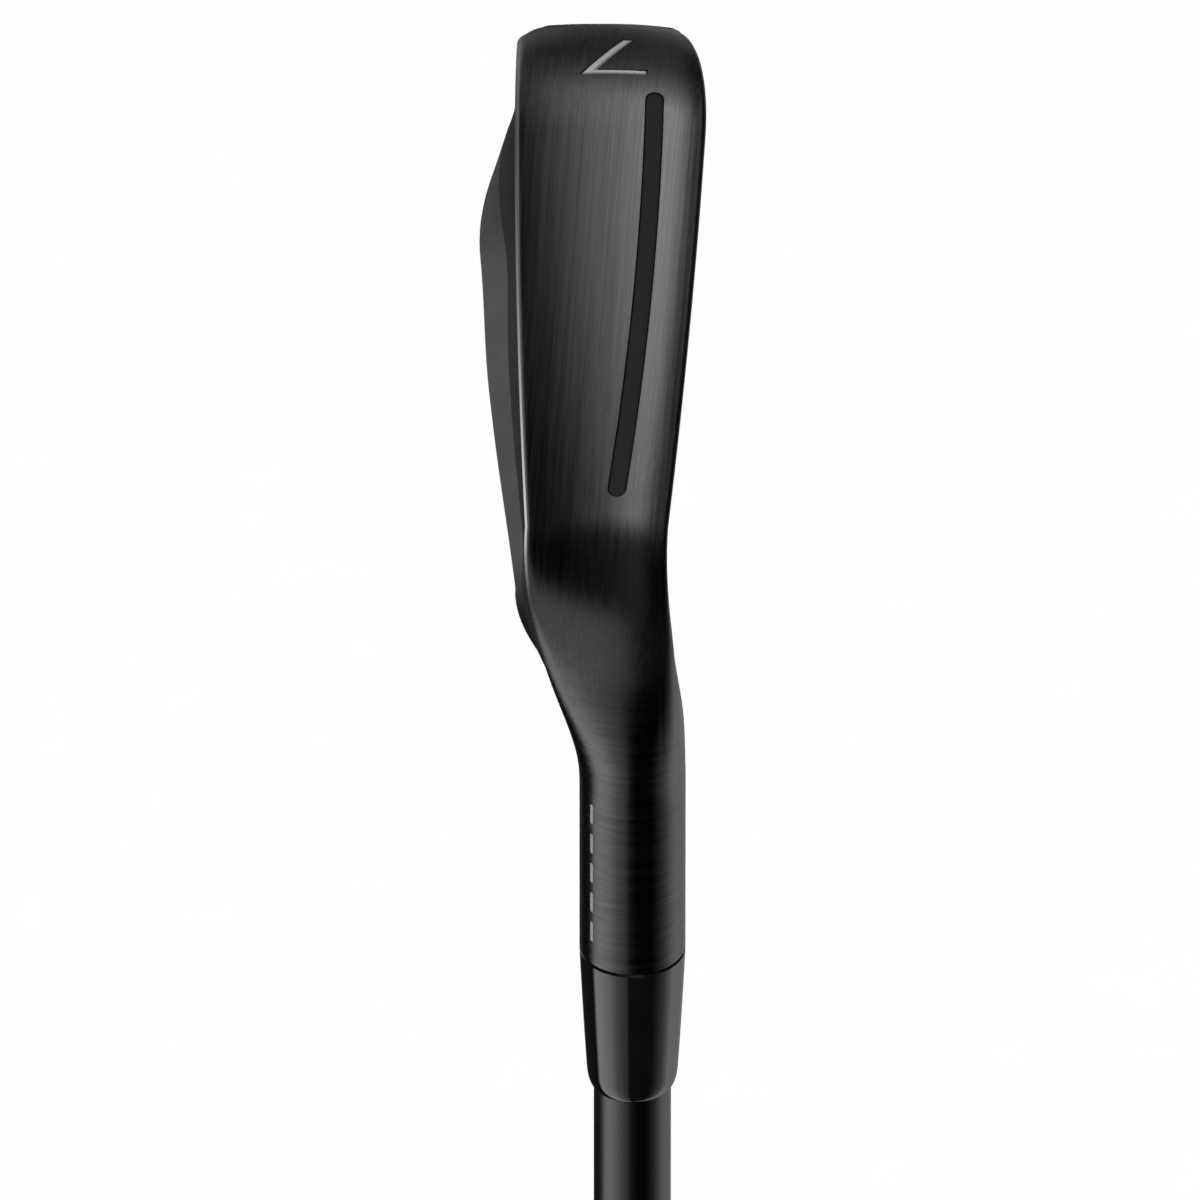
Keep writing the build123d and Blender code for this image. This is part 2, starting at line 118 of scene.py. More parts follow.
# ---------------------------------------------------------------- ferrule, shaft and grip, mm
SHAFT_R = 4.75
BOND_T = 0.1
FERRULE_END_R = 5.65
SHAFT_BUTT_R = 7.62
SHAFT_WALL = 0.4
STEPS = 15
STEP_PITCH = 44.45
FIRST_STEP_Z = 780.0
STEP_SLOPE = 0.6
STEP_EASE = 0.15
BAND_T = 0.12
TAPE_T = 0.25
GRIP_BUTT_R = 13.4
GRIP_POINTS = ((45.0, 12.6), (130.0, 11.2))     # (z, radius) between the butt and the mouth
GRIP_MOUTH_R = 9.1
GRIP_EDGE_H = 1.5
GRIP_ROWS = 520
PATTERN_LOW = 14.0
PATTERN_HIGH = 256.0
PATTERN_ROW = 40.0
PATTERN_TURNS = 10
PATTERN_SLANT = 1.05
PATTERN_DEPTH = 0.3
CAP_FLAT_R = 10.4
CAP_ROUND = 3.2
CAP_T = 5.0
VENT_R = 2.0

HOSEL_TOP_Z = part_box("ferrule")[1].z / MM
GROUND_Z = HOSEL_TOP_Z + HOSEL_TOP
FERRULE_END_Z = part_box("ferrule")[0].z / MM
SHAFT_BUTT_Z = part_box("shaft")[0].z / MM
SHAFT_TIP_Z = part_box("shaft")[1].z / MM
BAND_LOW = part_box("shaft_band")[0].z / MM
BAND_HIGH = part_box("shaft_band")[1].z / MM
GRIP_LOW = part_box("grip_sleeve")[0].z / MM
GRIP_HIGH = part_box("grip_sleeve")[1].z / MM

AXIS_UP = (-math.cos(LIE), math.sin(LIE))        # shaft axis in the head frame, (y, z)
AXIS_SIDE = (math.sin(LIE), math.cos(LIE))
PIVOT_Y = AXIS_UP[0] * HOSEL_ROOT + AXIS_SIDE[0] * BEND_R
PIVOT_Z = AXIS_UP[1] * HOSEL_ROOT + AXIS_SIDE[1] * BEND_R

# the head frame's axes in the club frame
BACK = Vector((-1, 0, 0))
TOE = Vector((0, math.sin(LIE), math.cos(LIE)))
CROWN = Vector((0, math.cos(LIE), -math.sin(LIE)))
UPWARD = Vector((0, 0, 1))
GROUND_ALONG_TOE = GROUND_Z * TOE.z

HEAD_CREASE = 28            # degrees between faces that shade as an edge
CREASE = 30
SLOT_CREASE = 50


def to_club(p):
    """A head-frame point in mm, in the club frame in metres."""
    at = BACK * p[0] + TOE * p[1] + CROWN * p[2]
    return Vector((at.x * MM, at.y * MM, (at.z + GROUND_Z) * MM))


def club_mm(p):
    """A club-frame point in mm, in metres."""
    return Vector((p[0] * MM, p[1] * MM, p[2] * MM))


def mix(a, b, t):
    return a + (b - a) * t


def smooth(t):
    t = min(1.0, max(0.0, t))
    return t * t * (3.0 - 2.0 * t)


def mix2(p, q, t):
    return (mix(p[0], q[0], t), mix(p[1], q[1], t))


# ---------------------------------------------------------------- outlines of the blade
def face_x(z):
    return FACE_X + z * math.tan(LOFT)


def sole_z(y):
    z = (y - CAMBER_Y) ** 2 / (2.0 * CAMBER_R)
    if y > TOE_START:
        u = (y - TOE_START) / (TOE_TIP - TOE_START)
        z += (TOE_MID_Z - TOE_SOLE_Z) * (1.0 - math.sqrt(1.0 - u * u))
    return z


def top_z(y):
    z = CROTCH_Z + TOP_SLOPE * (y - PIVOT_Y)
    if y > TOE_START:
        u = (y - TOE_START) / (TOE_TIP - TOE_START)
        drop = CROTCH_Z + TOP_SLOPE * (TOE_TIP - PIVOT_Y) - TOE_MID_Z
        z -= drop * (1.0 - (1.0 - u ** TOP_BEND) ** (1.0 / TOP_BEND))
    return z


def corner(y):
    """0 along the blade, rising as a quarter circle to 1 at the tip of the toe."""
    if y <= CORNER_START:
        return 0.0
    u = (y - CORNER_START) / (TOE_TIP - CORNER_START)
    return 1.0 - math.sqrt(1.0 - u * u)


def trailing_x(y):
    return TRAILING_X + TRAILING_SPREAD * y - TRAILING_BOW * y * y - CORNER_ROUND * corner(y)


def top_width(y):
    width = TOP_W + TOP_SWELL * smooth(y / 30.0) - TOP_TAPER * smooth((y - 34.0) / 24.0)
    return width - TOP_ROUND * corner(y)


def blade_section(y):
    """Eight cubic edges, as (start, handle, handle), round the blade's section in (x, z)."""
    zb = sole_z(y)
    zt = top_z(y)
    k = min(1.0, (zt - zb) / SECTION_H)
    xt = trailing_x(y)
    groove = smooth((y + 4.0) / 14.0) * (1.0 - 0.85 * smooth((y - 50.0) / 20.0))

    a = (face_x(zb + 2.9 * k), zb + 2.9 * k)
    b = (face_x(zt), zt)
    c = (face_x(zt) + top_width(y), zt - 1.2 * k)
    f = (xt, zb + 3.9 * k)
    g = (xt - 0.55, zb + 3.2 * k)
    h = (a[0] + 0.35, zb + 1.2 * k)
    mouth = GROOVE_MOUTH + GROOVE_SPREAD * max(0.0, y)
    cut_d = (c[0] - mouth * math.sin(LOFT), c[1] - mouth * math.cos(LOFT) * k)
    cut_e = (xt - 4.2, zb + 7.0 * k)
    d = mix2(mix2(c, f, 0.3), cut_d, groove)
    e = mix2(mix2(c, f, 0.8), cut_e, groove)
    de1 = mix2(mix2(d, e, 0.33), (d[0] - 4.0, d[1] - 4.2 * k), groove)
    de2 = mix2(mix2(d, e, 0.67), (e[0] - 2.6, e[1] + 2.6 * k), groove)

    def straight(p, q):
        return [p, mix2(p, q, 1 / 3), mix2(p, q, 2 / 3)]

    return [
        straight(a, b),
        [b, (b[0] + 1.6, b[1] + 1.3 * k), (c[0] - 2.0, c[1] + 1.6 * k)],
        straight(c, d),
        [d, de1, de2],
        straight(e, f),
        straight(f, g),
        [g, (g[0] - 6.0, zb + 0.2 * k), (h[0] + 4.5, zb - 0.5 * k)],
        [h, (h[0] - 0.8, h[1] + 0.15 * k), (a[0] - 0.45, a[1] - 0.9 * k)],
    ]


HOSEL_ANGLES = [200, 130, 60, 25, 0, -25, -55, -130, -160]


def hosel_section(radius):
    """The same eight edges round the hosel, as (x, height above the axis)."""
    edges = []
    for first, last in zip(HOSEL_ANGLES, HOSEL_ANGLES[1:]):
        a0 = math.radians(first)
        a1 = math.radians(last)
        h = 4.0 / 3.0 * math.tan((a0 - a1) / 4.0) * radius
        p0 = (radius * math.cos(a0), radius * math.sin(a0))
        p1 = (radius * math.cos(a1), radius * math.sin(a1))
        edges.append([p0, (p0[0] + h * math.sin(a0), p0[1] - h * math.cos(a0)),
                      (p1[0] - h * math.sin(a1), p1[1] + h * math.cos(a1))])
    return edges


def cubic(points, t):
    """The point at t on a cubic through two ends and two handles."""
    s = 1.0 - t
    w = (s * s * s, 3 * s * s * t, 3 * s * t * t, t * t * t)
    return (sum(c * p[0] for c, p in zip(w, points)), sum(c * p[1] for c, p in zip(w, points)))


# points along each of the eight edges: face, top line, back, groove, flange, chamfer, sole, leading edge
EDGE_POINTS = (20, 12, 10, 14, 8, 4, 36, 12)
# each edge's material: 0 brushed, 1 satin back, 2 chamfer with a painted highlight, 3 groove and flange
# painted near black as shade
EDGE_FINISH = (0, 1, 1, 3, 3, 2, 0, 0)


def ring(edges, place):
    """The closed ring of points round a section."""
    points = []
    for i, (edge, count) in enumerate(zip(edges, EDGE_POINTS)):
        ends = (*edge, edges[(i + 1) % len(edges)][0])
        points += [place(*cubic(ends, j / count)) for j in range(count)]
    return points


def hosel_ring(s, radius=HOSEL_R):
    def place(x, up):
        return (x, AXIS_UP[0] * s + AXIS_SIDE[0] * up, AXIS_UP[1] * s + AXIS_SIDE[1] * up)
    return ring(hosel_section(radius), place)


def turning_ring(t):
    """Between the hosel, t = 0, and the blade's first station, t = 1."""
    angle = LIE - t * LIE
    weight = smooth(t)
    front = weight ** 4.0
    back = weight ** (1.5 - 0.5 * t)
    run_on = SOLE_RUN_ON * (1.0 - t) * t * t
    zb = sole_z(PIVOT_Y)
    zt = top_z(PIVOT_Y)
    edges = []
    for circle, blade in zip(hosel_section(HOSEL_R), blade_section(PIVOT_Y)):
        edge = []
        for p, q in zip(circle, blade):
            reach = mix(BEND_R - p[1], PIVOT_Z - q[1], weight)
            reach -= run_on * (zt - q[1]) / (zt - zb)
            edge.append((mix(p[0], q[0], front if p[0] < 0 else back), reach))
        edges.append(edge)

    def place(x, reach):
        return (x, PIVOT_Y - math.sin(angle) * reach, PIVOT_Z - math.cos(angle) * reach)
    return ring(edges, place)


def blade_ring(y):
    return ring(blade_section(y), lambda x, z: (x, y, z))


def inset_ring(points, inset, y):
    """The ring pulled in towards its middle by about inset, at station y."""
    middle = np.mean(points, axis=0)
    out = []
    for p in points:
        away = np.array(p) - middle
        far = np.linalg.norm(away)
        q = middle + away * max(0.0, 1.0 - inset / far)
        out.append((q[0], y, q[2]))
    return out


def head_rings():
    bore = SHAFT_R + BOND_T
    rings = [hosel_ring(BORE_FLOOR, bore), hosel_ring(HOSEL_TOP, bore),
             hosel_ring(HOSEL_TOP, HOSEL_R - SEAM_CHAMFER), hosel_ring(HOSEL_TOP - SEAM_CHAMFER)]
    rings += [hosel_ring(s) for s in np.linspace(HOSEL_TOP - 0.6, HOSEL_ROOT + 0.8, 28)]
    rings += [turning_ring(t) for t in np.linspace(0.0, 1.0, 48)]
    rings += [blade_ring(y) for y in np.arange(PIVOT_Y + 0.7, TOE_START, 0.7)]
    bend = np.linspace(0.0, 1.0, 34)
    toe = TOE_END - TOE_START
    rings += [blade_ring(TOE_START + toe * math.sin(b * math.pi / 2)) for b in bend]
    last = rings[-1]
    for turn in (20, 40, 60, 80, 90):
        a = math.radians(turn)
        inset = TOE_EDGE_R * (1.0 - math.cos(a))
        rings.append(inset_ring(last, inset, TOE_END + TOE_BULGE * math.sin(a)))
    for inset, out in ((2.2, 0.5), (3.8, 0.54)):
        rings.append(inset_ring(last, inset, TOE_END + out))
    return rings


def linked(mesh, name, materials):
    for material in materials:
        mesh.materials.append(material)
    obj = bpy.data.objects.new(name, mesh)
    bpy.context.scene.collection.objects.link(obj)
    return obj


def mesh_object(name, vertices, faces, materials):
    mesh = bpy.data.meshes.new(name)
    mesh.from_pydata(vertices, [], faces)
    mesh.update()
    return linked(mesh, name, materials)


def object_of(bm, name, materials):
    mesh = bpy.data.meshes.new(name)
    bm.to_mesh(mesh)
    bm.free()
    return linked(mesh, name, materials)


def skin_rings(name, rings, materials, finish=None, place=to_club):
    """A closed solid through rings of the same number of points, with UVs round and along it.

    finish gives the material slot of each face round a ring.
    """
    count = len(rings[0])
    vertices = [place(p) for r in rings for p in r]
    faces = []
    slots = []
    for i in range(len(rings) - 1):
        for j in range(count):
            k = (j + 1) % count
            a = i * count
            b = a + count
            faces.append((a + j, a + k, b + k, b + j))
            slots.append(finish[j] if finish else 0)
    faces.append(tuple(reversed(range(count))))
    faces.append(tuple(range((len(rings) - 1) * count, len(rings) * count)))
    slots += [0, 0]
    obj = mesh_object(name, vertices, faces, materials)
    layer = obj.data.uv_layers.new(name="around")
    for polygon, slot in zip(obj.data.polygons, slots):
        polygon.material_index = slot
        for corner, loop in enumerate(polygon.loop_indices):
            row, column = divmod(obj.data.loops[loop].vertex_index, count)
            if polygon.vertices[0] % count == count - 1 and column == 0:
                column = count
            layer.data[loop].uv = (column / count, row / len(rings))
    return obj


def outward(obj):
    """Turn every face's front to the outside."""
    bm = bmesh.new()
    bm.from_mesh(obj.data)
    bmesh.ops.recalc_face_normals(bm, faces=bm.faces)
    bm.to_mesh(obj.data)
    bm.free()
    return obj


def shade(obj, degrees):
    """Shade smooth, but for edges sharper than this."""
    obj.data.shade_smooth()
    obj.data.set_sharp_from_angle(angle=math.radians(degrees))
    return obj


def apply_modifiers(obj):
    """Keep the mesh that the modifiers make, and drop them."""
    bpy.context.view_layer.update()
    graph = bpy.context.evaluated_depsgraph_get()
    mesh = bpy.data.meshes.new_from_object(
        obj.evaluated_get(graph), preserve_all_data_layers=True, depsgraph=graph)
    obj.modifiers.clear()
    obj.data = mesh


def cut(obj, tool):
    """Cut the tool's solid out of obj, and remove the tool."""
    step = obj.modifiers.new("cut", "BOOLEAN")
    step.operation = "DIFFERENCE"
    step.solver = "EXACT"
    step.object = tool
    apply_modifiers(obj)
    bpy.data.objects.remove(tool)


SAME_SURFACE = 0.01         # mm
SAME_FACING = 0.98


def corner_normals(mesh):
    return [n.vector.copy() for n in mesh.corner_normals]


def keep_shading(obj, whole):
    """Shade the cut object like the whole one wherever their surfaces are the same."""
    source = whole.data
    normals = corner_normals(source)
    corners = [[source.vertices[v].co for v in p.vertices] for p in source.polygons]
    tree = BVHTree.FromPolygons([v.co for v in source.vertices],
                                [tuple(p.vertices) for p in source.polygons])
    own = corner_normals(obj.data)
    for polygon in obj.data.polygons:
        for loop in polygon.loop_indices:
            at = obj.data.vertices[obj.data.loops[loop].vertex_index].co
            near = at.lerp(polygon.center, 0.02)
            found, flat, index, far = tree.find_nearest(near)
            same = far < SAME_SURFACE * MM and flat.dot(polygon.normal) > SAME_FACING
            if same and len(corners[index]) == 4:
                weights = poly_3d_calc(corners[index], found)
                start = source.polygons[index].loop_start
                total = Vector((0, 0, 0))
                for k, w in enumerate(weights):
                    total += normals[start + k] * w
                own[loop] = total.normalized()
    obj.data.normals_split_custom_set(own)


def show(obj, node):
    """The piece stands for a CAD node, which is hidden, and joins the body."""
    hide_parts(node)
    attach(obj, BODY)
    return obj


# ---------------------------------------------------------------- node helpers for the materials
class Paint:
    """A material's node tree with short ways to add nodes. Lengths in it are in metres."""

    def __init__(self, name):
        self.material = bpy.data.materials.new(name)
        self.material.use_nodes = True
        self.tree = self.material.node_tree
        self.shader = self.tree.nodes["Principled BSDF"]

    def set(self, **values):
        for name, value in values.items():
            self.shader.inputs[name.replace("_", " ")].default_value = value

    def node(self, kind, values=None, **settings):
        n = self.tree.nodes.new(kind)
        for key, value in settings.items():
            setattr(n, key, value)
        for key, value in (values or {}).items():
            self.feed(n.inputs[key], value)
        return n

    def feed(self, socket, value):
        if isinstance(value, bpy.types.NodeSocket):
            self.tree.links.new(value, socket)
        else:
            socket.default_value = value

    def math(self, operation, a, b):
        return self.node("ShaderNodeMath", {0: a, 1: b}, operation=operation).outputs[0]

    def place(self):
        """Where the point is in the club frame, in metres."""
        return self.node("ShaderNodeTexCoord").outputs["Object"]

    def along(self, direction):
        """How far the point lies along a direction."""
        return self.node("ShaderNodeVectorMath", {0: self.place(), 1: tuple(direction)},
                         operation="DOT_PRODUCT").outputs["Value"]

    def noise(self, vector, scale, detail=2.0, roughness=0.5):
        values = {"Vector": vector, "Scale": scale, "Detail": detail, "Roughness": roughness}
        return self.node("ShaderNodeTexNoise", values).outputs["Fac"]

    def vector(self, x, y, z):
        return self.node("ShaderNodeCombineXYZ", {0: x, 1: y, 2: z}).outputs[0]

    def streaks(self, lengths, scales, detail=2.0, roughness=0.5):
        """Noise drawn out along the lengths whose scales are small."""
        scaled = [self.math("MULTIPLY", a, scale) for a, scale in zip(lengths, scales)]
        return self.noise(self.vector(*scaled), 1.0, detail, roughness)

    def span(self, value, low, high, to_low=0.0, to_high=1.0, soft=False):
        return self.node("ShaderNodeMapRange", {0: value, 1: low, 2: high, 3: to_low, 4: to_high},
                         interpolation_type="SMOOTHSTEP" if soft else "LINEAR").outputs[0]

    def blend(self, factor, a, b):
        n = self.node("ShaderNodeMix", {0: factor, 2: a, 3: b}, data_type="FLOAT")
        return n.outputs[0]

    def colour(self, factor, a, b):
        n = self.node("ShaderNodeMix", {0: factor, 6: a, 7: b}, data_type="RGBA")
        return n.outputs[2]

    def bump(self, height, distance, strength):
        n = self.node("ShaderNodeBump", {"Height": height, "Distance": distance, "Strength": strength})
        self.feed(self.shader.inputs["Normal"], n.outputs[0])


def grey(v, tint=0.0):
    return (v, v, v * (1.0 + tint), 1.0)


# ---------------------------------------------------------------- materials
def brushed_steel():
    """Black-coated steel, brushed heel to toe on the blade and round the hosel."""
    p = Paint("head_brushed")
    up = p.along(UPWARD)
    wander = p.math("MULTIPLY", p.noise(p.place(), 40.0, 1.0), 0.0008)
    back = p.math("ADD", p.along(BACK), wander)
    blade = (p.along(TOE), back, p.along(CROWN))
    barrel = (back, p.along((0, 1, 0)), up)
    hosel = p.span(up, (GROUND_Z - 13.0) * MM, (GROUND_Z - 27.0) * MM, soft=True)
    lines = p.blend(hosel, p.streaks(blade, (40.0, 6500.0, 2500.0), 3.0, 0.65),
                    p.streaks(barrel, (160.0, 160.0, 4600.0), 3.0, 0.65))
    bands = p.blend(hosel, p.streaks(blade, (14.0, 1500.0, 500.0), 2.0, 0.6),
                    p.streaks(barrel, (60.0, 60.0, 1100.0), 2.0, 0.6))
    both = p.math("ADD", p.math("MULTIPLY", lines, 0.6), p.math("MULTIPLY", bands, 0.4))
    tone = p.span(both, 0.3, 0.7)
    p.feed(p.shader.inputs["Base Color"], p.colour(tone, grey(0.07), grey(0.13)))
    p.feed(p.shader.inputs["Roughness"], p.span(bands, 0.25, 0.75, 0.22, 0.32))
    p.set(Metallic=1.0, Anisotropic=0.5)
    p.feed(p.shader.inputs["Anisotropic Rotation"], p.math("MULTIPLY", hosel, 0.25))
    tangent = p.node("ShaderNodeTangent", direction_type="UV_MAP", uv_map="around")
    p.feed(p.shader.inputs["Tangent"], tangent.outputs[0])
    p.bump(both, 0.00004, 0.35)
    return p.material


def near_hosel(p):
    """0 on the blade, rising to 1 where it runs into the hosel."""
    return p.span(p.along(TOE), (GROUND_ALONG_TOE + 4.0) * MM, (GROUND_ALONG_TOE - 9.0) * MM,
                  soft=True)


def satin_steel():
    """The blasted back and top line, which run out into the brushed hosel."""
    p = Paint("head_satin")
    grain = p.noise(p.place(), 9000.0, 2.0, 0.6)
    cloud = p.noise(p.place(), 160.0, 3.0, 0.55)
    hosel = near_hosel(p)
    p.feed(p.shader.inputs["Base Color"], p.colour(p.span(cloud, 0.3, 0.7), grey(0.08), grey(0.1)))
    blasted = p.span(grain, 0.2, 0.8, 0.44, 0.56)
    p.feed(p.shader.inputs["Roughness"], p.blend(hosel, blasted, p.span(grain, 0.2, 0.8, 0.26, 0.34)))
    p.set(Metallic=1.0)
    p.bump(grain, 0.00003, 0.4)
    return p.material


def painted_highlight_edge():
    """The trailing edge's chamfer with a painted highlight: bright metal, brightest near the heel,
    fading towards the toe and dim at the hosel, with fine streaks along it.
    """
    p = Paint("head_bright_edge")
    run = p.streaks((p.along(TOE), p.along(BACK), p.along(CROWN)), (120.0, 2500.0, 2500.0))
    # painted highlight: the edge's reflectance falls from the heel towards the toe and drops at the
    # hosel
    highlight_fade = p.span(p.along(TOE), (GROUND_ALONG_TOE + 58.0) * MM, (GROUND_ALONG_TOE + 6.0) * MM,
                    0.04, 1.0)
    highlight_fade = p.blend(near_hosel(p), p.math("POWER", highlight_fade, 1.6), 0.12)
    highlight_tone = p.math("MULTIPLY", highlight_fade, p.span(run, 0.0, 1.0, 0.5, 0.75))
    highlight_tone = p.math("ADD", highlight_tone, 0.03)
    p.feed(p.shader.inputs["Base Color"], p.vector(highlight_tone, highlight_tone, highlight_tone))
    p.feed(p.shader.inputs["Roughness"], p.span(run, 0.2, 0.8, 0.18, 0.3))
    p.set(Metallic=1.0)
    p.bump(run, 0.00002, 0.3)
    return p.material


def speckled(name, dark, light, rough, scale, depth, metallic=0.0, ior=1.5, tint=0.0):
    """A plain material with a fine speckle in its tone, its gloss and its surface."""
    p = Paint(name)
    grain = p.noise(p.place(), scale, 3.0, 0.6)
    cloud = p.noise(p.place(), scale / 30.0, 2.0)
    both = p.math("ADD", p.math("MULTIPLY", grain, 0.6), p.math("MULTIPLY", cloud, 0.4))
    tone = p.colour(p.span(both, 0.3, 0.7), grey(dark, tint), grey(light, tint))
    p.feed(p.shader.inputs["Base Color"], tone)
    p.feed(p.shader.inputs["Roughness"], p.span(both, 0.25, 0.75, rough - 0.06, rough + 0.06))
    p.set(Metallic=metallic, IOR=ior)
    p.bump(grain, depth, 0.5)
    return p.material


def ferrule_plastic():
    """Gloss black plastic with the faint rings that turning and buffing leave."""
    p = Paint("ferrule_gloss")
    rings = p.streaks((0.0, 0.0, p.along(UPWARD)), (1.0, 1.0, 2600.0))
    cloud = p.noise(p.place(), 220.0, 2.0)
    p.feed(p.shader.inputs["Base Color"], p.colour(cloud, grey(0.003), grey(0.006)))
    p.feed(p.shader.inputs["Roughness"], p.span(cloud, 0.3, 0.7, 0.045, 0.085))
    p.set(IOR=1.72)
    p.bump(rings, 0.000004, 0.25)
    return p.material


def shaft_steel():
    """Dark satin steel, polished lengthwise."""
    p = Paint("shaft_satin")
    lines = p.streaks((p.along((1, 0, 0)), p.along((0, 1, 0)), p.along(UPWARD)), (2600.0, 2600.0, 40.0))
    cloud = p.noise(p.place(), 120.0, 2.0)
    p.feed(p.shader.inputs["Base Color"], p.colour(cloud, grey(0.085), grey(0.1)))
    p.feed(p.shader.inputs["Roughness"], p.span(lines, 0.25, 0.75, 0.26, 0.34))
    p.set(Metallic=1.0)
    p.bump(lines, 0.00001, 0.25)
    return p.material


def face_steel():
    """Dark face, milled very finely across."""
    p = Paint("face_milled")
    mill = p.streaks((p.along(TOE), p.along(CROWN), 0.0), (60.0, 5200.0, 1.0), 2.0, 0.6)
    cloud = p.noise(p.place(), 140.0, 3.0)
    tone = p.math("ADD", p.math("MULTIPLY", mill, 0.5), p.math("MULTIPLY", cloud, 0.5))
    p.feed(p.shader.inputs["Base Color"], p.colour(p.span(tone, 0.3, 0.7), grey(0.075), grey(0.12)))
    p.feed(p.shader.inputs["Roughness"], p.span(tone, 0.25, 0.75, 0.34, 0.46))
    p.set(Metallic=1.0)
    p.bump(mill, 0.00002, 0.35)
    return p.material


def grip_rubber():
    """Dull black rubber with fine pores."""
    p = Paint("grip_rubber")
    pores = p.noise(p.place(), 5200.0, 3.0, 0.6)
    cloud = p.noise(p.place(), 90.0, 3.0)
    p.feed(p.shader.inputs["Base Color"], p.colour(p.span(cloud, 0.3, 0.7), grey(0.013), grey(0.022)))
    p.feed(p.shader.inputs["Roughness"], p.span(pores, 0.2, 0.8, 0.62, 0.8))
    p.set(Sheen_Weight=0.15, Sheen_Roughness=0.5)
    p.bump(pores, 0.00006, 0.5)
    return p.material


brushed = brushed_steel()
satin = satin_steel()
bright = painted_highlight_edge()
# painted shade: the groove is near black to stand in for the shade in its deep undercut
groove_shade_paint = speckled("groove_painted_shade", 0.008, 0.012, 0.6, 6000.0, 0.00002, ior=1.3)
face = face_steel()
gloss = ferrule_plastic()
tube = shaft_steel()
rubber = grip_rubber()
slot_plastic = speckled("slot_polymer", 0.012, 0.016, 0.7, 7000.0, 0.00002, ior=1.22)
film = speckled("band_film", 0.16, 0.22, 0.34, 5200.0, 0.00001, metallic=0.7)
floor_paint = speckled("floor_paint", 0.88, 0.9, 0.8, 60.0, 0.00005)
silver = speckled("silver_paint", 0.42, 0.56, 0.38, 6000.0, 0.00002, metallic=0.6)
NODE_MATERIALS = {
    "face_plate": face,
    "cavity_foam": speckled("foam", 0.45, 0.62, 0.9, 1800.0, 0.0002, tint=-0.12),
    "toe_weight": speckled("sintered_tungsten", 0.22, 0.32, 0.5, 5200.0, 0.00005, metallic=1.0),
    "fill_port_screw": speckled("screw_black_oxide", 0.05, 0.08, 0.36, 3800.0, 0.00002, metallic=1.0),
    "hosel_epoxy": speckled("cured_epoxy", 0.3, 0.36, 0.3, 900.0, 0.00002, tint=-0.4),
    "tip_weight": speckled("turned_brass", 0.4, 0.52, 0.3, 2600.0, 0.00002, metallic=1.0, tint=-0.6),
    "grip_tape": speckled("grip_tape", 0.55, 0.66, 0.8, 2200.0, 0.00008, tint=-0.1),
}
for node, material in NODE_MATERIALS.items():
    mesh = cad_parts[node].data
    mesh.materials.clear()
    mesh.materials.append(material)


# ---------------------------------------------------------------- the head
def surface_finder(obj):
    """Height of the sole over a point in plan, in the head frame, in mm."""
    turn = Matrix((BACK, TOE, CROWN))
    vertices = [turn @ (v.co / MM - Vector((0, 0, GROUND_Z))) for v in obj.data.vertices]
    tree = BVHTree.FromPolygons(vertices, [tuple(p.vertices) for p in obj.data.polygons])

    def height(x, y):
        hit = tree.ray_cast(Vector((x, y, BELOW_HEAD)), UPWARD)[0]
        return hit.z if hit else 0.0
    return height


def normals_of(outline):
    """Outward unit normals of a closed outline in plan."""
    count = len(outline)
    area = sum(outline[i][0] * outline[(i + 1) % count][1] - outline[(i + 1) % count][0] * outline[i][1]
               for i in range(count))
    side = 1.0 if area > 0 else -1.0
    out = []
    for i in range(count):
        before = Vector(outline[i]) - Vector(outline[i - 1])
        after = Vector(outline[(i + 1) % count]) - Vector(outline[i])
        turn = before.normalized() + after.normalized()
        normal = Vector((turn.y, -turn.x)).normalized() * side
        bend = max(0.35, math.cos(before.angle(after) / 2))
        out.append(normal / bend)
    return out


def sole_tool(name, outline, height, chamfer, depth):
    """A cutter for a pocket in the sole, with a small chamfer round its mouth."""
    normals = normals_of(outline)

    def loop(grow, z):
        points = []
        for p, n in zip(outline, normals):
            q = Vector(p) + n * grow
            points.append((q.x, q.y, z(q) if callable(z) else z))
        return points
    rings = [loop(chamfer * 2, BELOW_SOLE),
             loop(chamfer * 2, lambda q: height(q.x, q.y) - chamfer),
             loop(0.0, lambda q: height(q.x, q.y) + chamfer),
             loop(0.0, lambda q: height(q.x, q.y) + depth)]
    return outward(skin_rings(name, rings, [brushed]))


def slot_line(t):
    """A point on the middle of the slot, t from 0 at the toe to 1 at the heel."""
    y = mix(SLOT_PATH[0][1], SLOT_PATH[2][1], t)
    x = 0.0
    for i, p in enumerate(SLOT_PATH):
        share = 1.0
        for j, q in enumerate(SLOT_PATH):
            if i != j:
                share *= (y - q[1]) / (p[1] - q[1])
        x += p[0] * share
    return Vector((x, y))


def slot_outline(half):
    """The slot's outline: two long sides and round ends."""
    points = []
    steps = 90
    for side in (1, -1):
        order = range(steps + 1) if side == 1 else range(steps, -1, -1)
        for i in order:
            t = i / steps
            along = (slot_line(min(1.0, t + 0.01)) - slot_line(max(0.0, t - 0.01))).normalized()
            across = Vector((-along.y, along.x)) * side
            points.append(slot_line(t) + across * half)
        end = slot_line(1.0 if side == 1 else 0.0)
        start = points[-1] - end
        for k in range(1, 12):
            turn = Matrix.Rotation(-math.pi * k / 12, 2)
            points.append(end + turn @ start)
    return [tuple(p) for p in points]


